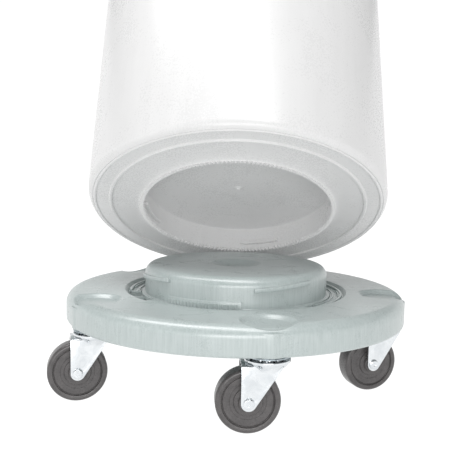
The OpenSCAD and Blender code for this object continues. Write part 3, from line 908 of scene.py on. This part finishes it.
@dataclass
class Caster:
    """One swivel caster under its race: pressed fork, wheel, sleeve, axle and nut."""

    number: int
    place: Matrix
    zinc: bpy.types.Material
    sleeve: bpy.types.Material
    tread: bpy.types.Material
    trail: float = 0.022
    wheel_radius: float = 0.0381
    wheel_width: float = 0.024
    leg_in: float = 0.0165
    leg_thick: float = 0.0025
    leg_front: float = 0.017
    tip_radius: float = 0.0088
    cup_radius: float = 0.027
    cup_floor: float = 0.08495
    cup_top: float = 0.08715
    crown: float = 0.07935
    axle_radius: float = 0.004

    @property
    def swivel(self) -> str:
        """Name of the body that turns under the race."""
        return f"swivel_{self.number}"

    @property
    def axle_at(self) -> Matrix:
        """Turns a lathed piece's Z axis along the axle and moves it to the axle."""
        return Matrix.Translation((-self.trail, 0, self.wheel_radius)) @ Matrix.Rotation(math.pi / 2, 4, "X")

    def build(self) -> None:
        """Build the caster's pieces and hang them on its two bodies."""
        n = self.number
        self.put(self.fork(), f"caster_fork_{n}", self.zinc, self.swivel, Slot.ZINC, f"fork_{n}", 35)
        self.put(self.axle(), f"caster_axle_{n}", self.zinc, self.swivel, Slot.ZINC, f"axle_{n}", 35)
        self.put(self.axle_nut(), f"caster_nut_{n}", self.zinc, self.swivel, Slot.ZINC, f"axle_nut_{n}", 30)
        self.put(self.bush(), f"caster_sleeve_{n}", self.sleeve, self.swivel, Slot.BUSH, f"bush_{n}", 35)
        self.put(self.wheel(), f"caster_wheel_{n}", self.tread, f"roller_{n}", Slot.TREAD, f"wheel_{n}", 35)

    def put(
        self, obj: bpy.types.Object, name: str, material: bpy.types.Material, body: str, slot: Slot, node: str, angle: float,
    ) -> None:
        """Name a piece, move it to its caster and dress it."""
        obj.name = name
        obj.data.transform(self.place)
        Bench.finish(obj, material, body, slot, [node], angle)

    def leg(self, side: int) -> bpy.types.Object:
        """One fork leg: upright rear edge, slanted front edge and a round tip at the axle.

        Args:
            side: -1 for the outer leg, 1 for the inner one.

        Returns:
            The leg, with eased edges.
        """
        axle = Vector((-self.trail, self.wheel_radius))
        corner = Vector((self.leg_front, self.crown + 0.0015))
        line = corner - axle
        lean = math.atan2(line.y, line.x) - math.acos(self.tip_radius / line.length)
        arc = [
            (axle.x + self.tip_radius * math.cos(a), axle.y + self.tip_radius * math.sin(a))
            for a in [math.pi + (lean + math.pi) * k / 24 for k in range(25)]
        ]
        rear = -self.trail - self.tip_radius
        leg = Bench.slab("leg", [(rear, self.crown + 0.0015), *arc, tuple(corner)], self.leg_thick)
        leg.data.transform(Matrix.Translation((0, side * (self.leg_in + self.leg_thick / 2), 0)))
        hole = Bench.rod("hole", self.axle_radius, -0.05, 0.05, 40)
        hole.data.transform(self.axle_at)
        Bench.carve(leg, hole)
        return leg

    def fork(self) -> bpy.types.Object:
        """The pressed fork: race cup, crown and legs, blended by a bell under the cup.

        Returns:
            The fork in the caster's own frame.
        """
        bell = Bench.lathe("bell", rounded([
            (0, 0.0655, 0), (0.0186, 0.0655, 0.001), (0.0196, 0.074, 0.004), (0.0240, 0.0805, 0.004), (self.cup_radius, 0.0843, 0.0012),
            (self.cup_radius, self.cup_top, 0.0008), (self.cup_radius - 0.0022, self.cup_top, 0.0008),
            (self.cup_radius - 0.0022, self.cup_floor, 0.001), (0.0064, self.cup_floor, 0.0004),
            (0.0064, 0.0655, 0), (0, 0.0655, 0),
        ][1:-1], closed=True, grain=12), 96)
        gap = Bench.block("gap", (-0.05, -self.leg_in, 0.05), (0.05, self.leg_in, self.crown))
        Bench.carve(bell, gap)
        skirt = self.leg_front + 0.001
        front = Bench.block("front", (skirt, -0.05, 0.05), (0.05, 0.05, 0.0785))
        Bench.carve(bell, front)
        crown = Bench.block(
            "crown", (-self.trail - self.tip_radius, -self.leg_in - self.leg_thick, self.crown),
            (self.leg_front, self.leg_in + self.leg_thick, self.crown + 0.0026),
        )
        Bench.ease(crown, 0.0012, 3, 60)
        hole = Bench.rod("hole", 0.0064, 0.05, 0.1, 40)
        Bench.carve(crown, hole)
        for part in (crown, self.leg(-1), self.leg(1)):
            Bench.carve(bell, part, "UNION")
        Bench.edit(bell)
        bpy.ops.mesh.remove_doubles(threshold=0.00002)
        bpy.ops.object.mode_set(mode="OBJECT")
        Bench.ease(bell, 0.0005, 2, 40)
        return bell

    def axle(self) -> bpy.types.Object:
        """The axle: low domed head outside, rounded threaded end inside."""
        side = self.leg_in + self.leg_thick
        end = -side - 0.0065
        points: list[Corner] = [(0, end, 0), (self.axle_radius - 0.0008, end, 0), (self.axle_radius, end + 0.0008, 0)]
        z = end + 0.0012
        while z < -side:
            points += [(self.axle_radius, z, 0), (self.axle_radius - 0.0005, z + 0.0006, 0)]
            z += 0.00125
        points += [
            (self.axle_radius, z, 0), (self.axle_radius, side, 0), (0.0065, side, 0.0001), (0.0065, side + 0.0012, 0.0006),
            (0.005, side + 0.002, 0.0008), (0.0022, side + 0.002, 0.0002), (0.0018, side + 0.0017, 0.0002), (0, side + 0.0017, 0),
        ]
        obj = Bench.lathe("axle", rounded(points, grain=20), 48)
        obj.data.transform(self.axle_at)
        return obj

    def axle_nut(self) -> bpy.types.Object:
        """The nut on the axle's inner end."""
        side = self.leg_in + self.leg_thick
        obj = Hardware.nut(0.013, self.axle_radius, side, 0.0055)
        obj.data.transform(self.axle_at @ Matrix.Rotation(math.pi, 4, "X"))
        return obj

    def bush(self) -> bpy.types.Object:
        """The plain sleeve that the wheel turns on."""
        half = self.leg_in
        obj = Bench.lathe("bush", rounded([
            (0.004, -half, 0.0003), (0.0055, -half, 0.0004), (0.0055, half, 0.0004), (0.004, half, 0.0003),
        ], closed=True, grain=30), 48)
        obj.data.transform(self.axle_at)
        return obj

    def wheel(self) -> bpy.types.Object:
        """The wheel: hub boss, ringed web with a groove, and a tread with round shoulders."""
        half, r = self.wheel_width / 2, self.wheel_radius
        face: list[Corner] = [
            (0.0056, half + 0.004, 0.0003), (0.0108, half + 0.004, 0.0008), (0.0118, half - 0.0004, 0.0005),
            (0.0163, half - 0.0004, 0.0005), (0.0173, half - 0.0022, 0.0006), (0.0212, half - 0.0022, 0.0003),
            (0.0216, half - 0.0017, 0.0003), (0.0288, half - 0.0016, 0.0004), (0.0299, half - 0.0026, 0.0004),
            (0.0304, half - 0.0026, 0.0004), (0.0312, half - 0.0004, 0.0006), (0.0341, half, 0.0006),
        ]
        other = [(x, -z, q) for x, z, q in reversed(face)]
        outline = rounded([*face, (r - 0.0002, half - 0.0002, 0.0038), (r - 0.0002, -half + 0.0002, 0.0038), *other], closed=True, grain=15)
        obj = Bench.lathe("wheel", [(min(x, r), z) for x, z in outline], 128)
        obj.data.transform(self.axle_at)
        return obj


# ---------------------------------------------------------------- the bucket


@dataclass
class Bucket:
    """The bucket: wall, recessed sole, serrated lip, twist lugs, rolled rim and two handles."""

    material: bpy.types.Material
    place: Matrix
    height: float = 0.580
    foot_radius: float = 0.210
    corner: float = 0.013
    taper: float = 0.0148
    wall: float = 0.0035
    recess: float = 0.0357
    recess_radius: float = 0.134
    lip_radius: float = 0.1316
    lip_out: float = 0.1391
    lip_drop: float = 0.0035
    lip_land: float = -0.0012
    boss_out: float = 0.150
    sole: float = 0.0025
    teeth: int = 150
    tooth_depth: float = 0.0023
    rim_out: float = 0.009
    rim_skirt: float = 0.024
    handle_reach: float = 0.034
    handle_width: float = 0.130
    handle_thick: float = 0.015
    slot_length: float = 0.088
    slot_width: float = 0.021

    def wall_radius(self, z: float) -> float:
        """Radius of the outside of the wall at a height above the base."""
        return self.foot_radius + self.taper * (z - self.corner)

    @property
    def rim_radius(self) -> float:
        """Outer radius of the rolled rim."""
        return self.wall_radius(self.height) + self.rim_out

    def build(self) -> None:
        """Build every piece of the bucket and hang it on its body."""
        self.done(self.shell(), ["bucket"], 32)
        self.done(self.lip_teeth(), angle=20)
        self.done(self.twist_lugs(), angle=40)
        self.done(self.gate_mark(), angle=40)
        for side, name in ((0, "right"), (1, "left")):
            self.done(self.handle(side, f"bucket_handle_{name}"), angle=40)

    def done(self, obj: bpy.types.Object, stands_for: Iterable[str] = (), angle: float = 30.0) -> None:
        """Tip a piece into its place and dress it."""
        obj.data.transform(self.place)
        Bench.finish(obj, self.material, "bucket", Slot.WHITE, stands_for, angle)

    def shell(self) -> bpy.types.Object:
        """The lathe-turned body, from the recess's middle out, up, over the rim and down inside.

        Returns:
            The closed shell in its seated place.
        """
        h, t = self.height, self.wall
        top_r, out = self.wall_radius(h), self.rim_radius
        floor = self.sole + t
        foot = self.foot_radius - self.taper * self.corner
        points = rounded([
            (0, self.recess, 0), (self.recess_radius, self.recess, 0.0025), (self.recess_radius, self.lip_land, 0.0005),
            *self.cove(),
            (0.1757, self.sole, 0.0006), (0.1767, 0, 0.0013), (0.1803, 0, 0.0013), (0.1813, self.sole, 0.0006),
            (0.1978, self.sole, 0.001), (0.1991, 0.0009, 0.0011), (0.2013, 0.0009, 0.0011), (0.2024, 0.0024, 0.0004),
            *self.foot_round(), (top_r - 0.0001, h - 0.0035, 0.0015),
            (out - 0.0033, h - 0.0035, 0.002), (out - 0.0031, h - self.rim_skirt, 0.0009), (out, h - self.rim_skirt, 0.0012),
            (out, h, 0.004), (top_r - t, h, 0.0015), (foot - t, floor, self.corner - t),
            (self.recess_radius + t + 0.006, floor, 0.004), (self.recess_radius + t, self.recess + t, 0.004),
            (0, self.recess + t, 0),
        ], grain=9)
        return Bench.lathe("bucket_shell", points, 240)

    def cove(self) -> list[Corner]:
        """The hollow sweep from the lip's edge out to the sole.

        Returns:
            Corners of the outline, from the lip outwards.
        """
        inside, out, rise = self.lip_out - 0.002, self.boss_out + 0.008, self.sole - self.lip_land
        turns = [math.radians(a) for a in range(0, 91, 9)]
        return [(out - (out - inside) * math.cos(a), self.lip_land + rise * math.sin(a), 0.0) for a in turns]

    def foot_round(self) -> list[Corner]:
        """The bottom corner, from just outside the foot's ridge up to the wall.

        Returns:
            Corners of the outline, from the foot upwards.
        """
        middle = self.foot_radius - self.corner
        turns = [math.radians(a) for a in range(-57, 1, 6)]
        return [(middle + self.corner * math.cos(a), self.corner * (1 + math.sin(a)), 0.0) for a in turns]

    def lip_teeth(self) -> bpy.types.Object:
        """The serrated edge of the lip: every second point lies further out and higher than its neighbours.

        Returns:
            The toothed ring.
        """
        Bench.clear()
        count = 2 * self.teeth
        bpy.ops.mesh.primitive_circle_add(vertices=count, radius=self.lip_radius, location=(0, 0, -self.lip_drop))
        obj = bpy.context.object
        obj.name = "bucket_lip_teeth"
        Bench.edit(obj)
        mesh = bmesh.from_edit_mesh(obj.data)
        for vert in mesh.verts:
            vert.select_set(vert.index % 2 == 1)
        bmesh.update_edit_mesh(obj.data)
        grow = (self.lip_radius + self.tooth_depth) / self.lip_radius
        bpy.ops.transform.resize(value=(grow, grow, 1))
        bpy.ops.mesh.primitive_circle_add(vertices=count, radius=self.lip_out - 0.002, location=(0, 0, -self.lip_drop))
        bpy.ops.mesh.select_all(action="SELECT")
        bpy.ops.mesh.bridge_edge_loops()
        bpy.ops.mesh.select_all(action="SELECT")
        bpy.ops.mesh.extrude_region_move(TRANSFORM_OT_translate={"value": (0, 0, 0.005)})
        bpy.ops.object.mode_set(mode="OBJECT")
        bpy.ops.object.transform_apply(location=True, rotation=True, scale=True)
        Bench.edit(obj)
        mesh = bmesh.from_edit_mesh(obj.data)
        for vert in mesh.verts:
            step = round(math.atan2(vert.co.y, vert.co.x) / (math.tau / count))
            vert.select_set(step % 2 == 1 and vert.co.z < 0)
        bpy.ops.mesh.select_mode(type="VERT")
        bmesh.update_edit_mesh(obj.data)
        bpy.ops.transform.translate(value=(0, 0, self.tooth_depth))
        bpy.ops.object.mode_set(mode="OBJECT")
        Bench.close_up(obj)
        return obj

    def twist_lugs(self) -> bpy.types.Object:
        """Four short lugs inside the recess that lock under the hub's ramps."""
        outline = rounded([
            (0.1284, 0.008, 0.0009), (self.recess_radius + 0.0015, 0.008, 0), (self.recess_radius + 0.0015, 0.013, 0), (0.1284, 0.013, 0.0009),
        ], closed=True, grain=20)
        span = math.radians(26)
        lug = Bench.lathe("lug", outline, 20, span, -span / 2)
        Bench.ease(lug, 0.0008, 2, 50)
        parts = [
            Bench.twin(lug, f"twist_{k}", Matrix.Rotation(math.radians(29.8 - 90 + 45 + 90 * k), 4, "Z")) for k in range(4)
        ]
        bpy.data.objects.remove(lug)
        return Bench.fuse("bucket_twist_lugs", parts)

    def gate_mark(self) -> bpy.types.Object:
        """The small dome that the mould's gate leaves in the middle of the recess."""
        z = self.recess
        return Bench.lathe("bucket_gate_mark", rounded([
            (0, z - 0.0026, 0), (0.0020, z - 0.0026, 0.0008), (0.0032, z - 0.0010, 0.0010), (0.0056, z - 0.0006, 0.0004),
            (0.0062, z + 0.0006, 0), (0, z + 0.0006, 0),
        ], grain=15), 40)

    def handle(self, side: int, name: str) -> bpy.types.Object:
        """One loop handle under the rim.

        Args:
            side: 0 for the right one, 1 for the left one.
            name: the piece's name.

        Returns:
            The handle with its grip hole and rounded edges.
        """
        out, half = self.rim_radius, self.handle_width / 2
        end = out + self.handle_reach
        outline = rounded([(out - 0.02, -half, 0), (end, -half, 0.02), (end, half, 0.02), (out - 0.02, half, 0)], closed=True)
        loop = Bench.slab(name, outline, self.handle_thick)
        mid = end - 0.012 - self.slot_width / 2
        w, h = self.slot_width / 2, self.slot_length / 2
        slot = Bench.slab("slot", rounded([(mid - w, -h, w * 0.99), (mid + w, -h, w * 0.99), (mid + w, h, w * 0.99), (mid - w, h, w * 0.99)], closed=True), 0.05)
        Bench.carve(loop, slot)
        lay = Matrix.Translation((0, 0, self.height - self.rim_skirt + self.handle_thick / 2)) @ Matrix.Rotation(math.pi / 2, 4, "X")
        loop.data.transform(lay)
        core = Bench.rod("core", out - 0.0017, 0.3, 0.7, 240)
        Bench.carve(loop, core)
        Bench.ease(loop, 0.0032, 3, 50)
        loop.data.transform(Matrix.Rotation(side * math.pi, 4, "Z"))
        Bench.close_up(loop)
        return loop


# ---------------------------------------------------------------- studio


@dataclass
class Lamp:
    """One soft area light."""

    name: str
    place: Vector
    aim: Vector
    width: float
    height: float
    watts: float
    colour: str = "#ffffff"

    def build(self) -> None:
        """Hang the light and point it."""
        data = bpy.data.lights.new(self.name, "AREA")
        data.shape = "RECTANGLE"
        data.size, data.size_y = self.width, self.height
        data.energy = self.watts
        data.color = linear(self.colour)[:3]
        obj = bpy.data.objects.new(self.name, data)
        obj.location = self.place
        obj.rotation_euler = (self.aim - self.place).to_track_quat("-Z", "Y").to_euler()
        bpy.context.scene.collection.objects.link(obj)


@dataclass
class Studio:
    """Pale sweep, white dome, softboxes and the camera."""

    axis: Vector
    focal_px: float = 749.6
    frame_px: float = 470.0
    sensor: float = 36.0
    distance: float = 1.0369
    height: float = 0.3217
    offset: float = 0.0093
    pitch: float = 0.1130
    yaw: float = -0.0115
    roll: float = 0.0212
    dome: float = 0.3
    table_glow: float = 1.0
    sweep_glow: float = 1.0

    def build(self) -> None:
        """Build the floor, the dome, the lights and the camera."""
        self.floor()
        self.sweep()
        self.sky()
        self.lights()
        self.camera()

    @staticmethod
    def glowing(name: str, deep: str, pale: str, glow: float) -> bpy.types.Material:
        """Matt white studio surface, lit from within, with a faint mottle.

        Args:
            name: the finish's name.
            deep: darker colour of the mottle.
            pale: lighter colour of the mottle.
            glow: brightness of its own light.

        Returns:
            The material.
        """
        material, tree, shader = blank(name)
        coords = put(tree, "ShaderNodeTexCoord")
        mottle = put(tree, "ShaderNodeTexNoise", {"Vector": coords.outputs["Object"], "Scale": 6.0, "Detail": 3.0})
        tint = put(tree, "ShaderNodeMix", {0: mottle.outputs["Fac"], 6: linear(deep), 7: linear(pale)}, data_type="RGBA")
        tree.links.new(tint.outputs[2], shader.inputs["Base Color"])
        shader.inputs["Roughness"].default_value = 0.9
        shader.inputs["Specular IOR Level"].default_value = 0.1
        shader.inputs["Emission Color"].default_value = (1, 1, 1, 1)
        shader.inputs["Emission Strength"].default_value = glow
        return material

    def floor(self) -> None:
        """A wide light table, so that the object hardly throws a shadow."""
        Bench.clear()
        bpy.ops.mesh.primitive_circle_add(vertices=96, radius=6.0, fill_type="NGON", location=(0, 0, -0.0002))
        obj = bpy.context.object
        obj.name = "floor"
        bpy.ops.object.transform_apply(location=True, rotation=True, scale=True)
        obj.data.materials.append(self.glowing("opal light table", "#7a7a7a", "#7e7e7e", self.table_glow))

    def sweep(self) -> None:
        """A white wall round the studio that the sky's light comes in over."""
        Bench.clear()
        bpy.ops.mesh.primitive_cylinder_add(vertices=96, radius=6.0, depth=2.0, end_fill_type="NOTHING", location=(0, 0, 0.9998))
        obj = bpy.context.object
        obj.name = "backdrop"
        bpy.ops.object.transform_apply(location=True, rotation=True, scale=True)
        obj.data.materials.append(self.glowing("back-lit white cloth", "#3a3a3a", "#3e3e3e", self.sweep_glow))

    def sky(self) -> None:
        """An even white dome."""
        world = bpy.data.worlds.new("white dome")
        world.use_nodes = True
        world.node_tree.nodes.clear()
        glow = put(world.node_tree, "ShaderNodeBackground", {"Color": (1, 1, 1, 1), "Strength": self.dome})
        put(world.node_tree, "ShaderNodeOutputWorld", {"Surface": glow.outputs[0]})
        bpy.context.scene.world = world

    def lights(self) -> None:
        """Overhead softbox, a large front light and a key from the left."""
        middle = Vector((self.axis.x, self.axis.y, 0.25))
        Lamp("overhead softbox", Vector((-0.35, -0.62, 1.9)), Vector((-0.05, -0.2, 0.1)), 2.8, 0.65, 36).build()
        Lamp("front light", Vector((0.1, -2.3, 0.40)), middle, 1.6, 0.6, 16).build()
        Lamp("left key", Vector((-2.2, -1.6, 1.2)), middle, 1.2, 1.4, 3).build()

    def camera(self) -> None:
        """The camera, a little above the deck and tipped slightly down."""
        e, yaw, roll = self.pitch, self.yaw, self.roll
        forward = Vector((math.sin(yaw) * math.cos(e), math.cos(yaw) * math.cos(e), -math.sin(e)))
        level = forward.cross(Vector((0, 0, 1))).normalized()
        upright = level.cross(forward)
        right = level * math.cos(roll) + upright * math.sin(roll)
        up = upright * math.cos(roll) - level * math.sin(roll)
        data = bpy.data.cameras.new("studio camera")
        data.sensor_width = self.sensor
        data.lens = self.focal_px / self.frame_px * self.sensor
        data.clip_start, data.clip_end = 0.05, 60.0
        obj = bpy.data.objects.new("studio camera", data)
        turn = Matrix((right, up, -forward)).transposed().to_4x4()
        place = Vector((self.axis.x + self.offset, self.axis.y - self.distance, self.height))
        obj.matrix_world = Matrix.Translation(place) @ turn
        bpy.context.scene.collection.objects.link(obj)
        bpy.context.scene.camera = obj


# ---------------------------------------------------------------- assembly


def joint(name: str) -> dict:
    """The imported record's joint of that name."""
    return next(j for j in frame["joints"] if j["name"] == name)


def caster_places() -> list[Matrix]:
    """Where each caster's swivel axis meets the floor, turned to its wheel's heading."""
    places = []
    for n in range(1, 6):
        at = joint(f"caster_{n}_swivel")["pos_m"]
        axle = joint(f"wheel_{n}_spin")["axis"]
        heading = math.atan2(-axle[0], axle[1])
        places.append(Matrix.Translation((at[0], at[1], 0)) @ Matrix.Rotation(heading, 4, "Z"))
    return places


def main() -> None:
    """Build the finishes, the pieces and the studio, in that order."""
    logging.basicConfig(level=logging.INFO, format="%(message)s", force=True)
    low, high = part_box("deck")
    axis = Vector(((low.x + high.x) / 2, (low.y + high.y) / 2, 0))
    tip = joint("bucket_tip")
    pivot = Vector(tip["pos_m"])
    tilt = math.radians(tip["range_deg"][1])
    seated = Vector((axis.x, axis.y, pivot.z - Bucket.corner))
    bucket_place = (
        Matrix.Translation(pivot) @ Matrix.Rotation(-tilt, 4, "X") @ Matrix.Translation(-pivot) @ Matrix.Translation(seated)
    )

    # Structural-foam polyethylene: grey with silvery swirl and a satin, slightly grainy skin
    deck_finish = MouldedFinish(
        "structural foam polyethylene, moulded", "#abb4b3", "#99a3a2", 0.26, 0.33, 2.0, 34, 30, 1.0, 0.02, gloss=1.0,
        centre=axis,
    ).make()
    # Natural polyethylene: milky white, a little light passes into it, faint draw marks; its faint emission (glow) is a
    # painted glow that stands in for light shining through the wall onto the shaded sole and recess
    bucket_finish = MouldedFinish(
        "natural polyethylene, moulded", "#c0c0c0", "#bcbcbc", 0.24, 0.34, 14, 160, 90, 2.2, 0.006, subsurface=0.12,
        glow=0.1,
        centre=bucket_place.translation, turn=(-tilt, 0.0, 0.0),
    ).make()
    # Bright zinc plate: near-white steel with a blue cast and soft patches of gloss
    zinc = SteelFinish("bright zinc plate on pressed steel", "#dee1e3", "#d0d4d7", 0.12, 0.26, 14, 0.9, 0.008).make()
    # The same zinc plate, painted darker and bluer on the upper races as painted shade and painted dark reflections
    painted_shade_zinc = SteelFinish("zinc plate on pressed steel, darkened as painted shade", "#aab2b7", "#8d979c", 0.14, 0.3, 9, 0.9, 0.008).make()
    # Sintered sleeve: darker grey steel with an oily sheen
    sleeve = SteelFinish("sintered steel, oiled", "#9a9b9d", "#77787b", 0.22, 0.4, 6, 0.6, 0.01).make()
    # Bearing balls: polished steel, almost a mirror
    balls = SteelFinish("hardened steel, polished", "#d7d9dc", "#c6c9cd", 0.05, 0.14, 5, 0.5, 0.002).make()
    ball_node = frame["nodes"]["race_balls"]
    ball_node.data.materials.clear()
    ball_node.data.materials.append(balls)

    places = caster_places()
    Deck(deck_finish, axis, [p.translation for p in places]).build()
    Hardware(zinc, painted_shade_zinc, places).build()
    for number, place in enumerate(places, 1):
        heading = place.to_euler().z
        centre = place @ Vector((-Caster.trail, 0, Caster.wheel_radius))
        # Hard polyolefin wheel: warm grey-black, turned rings, scuffed and slightly shiny
        tread = TreadFinish(f"hard polyolefin wheel {number}", centre, heading).make()
        Caster(number, place, zinc, sleeve, tread).build()
    Bucket(bucket_finish, bucket_place).build()
    Studio(axis).build()
    bpy.context.scene.view_settings.view_transform = "Standard"


if __name__ == "__main__":
    main()
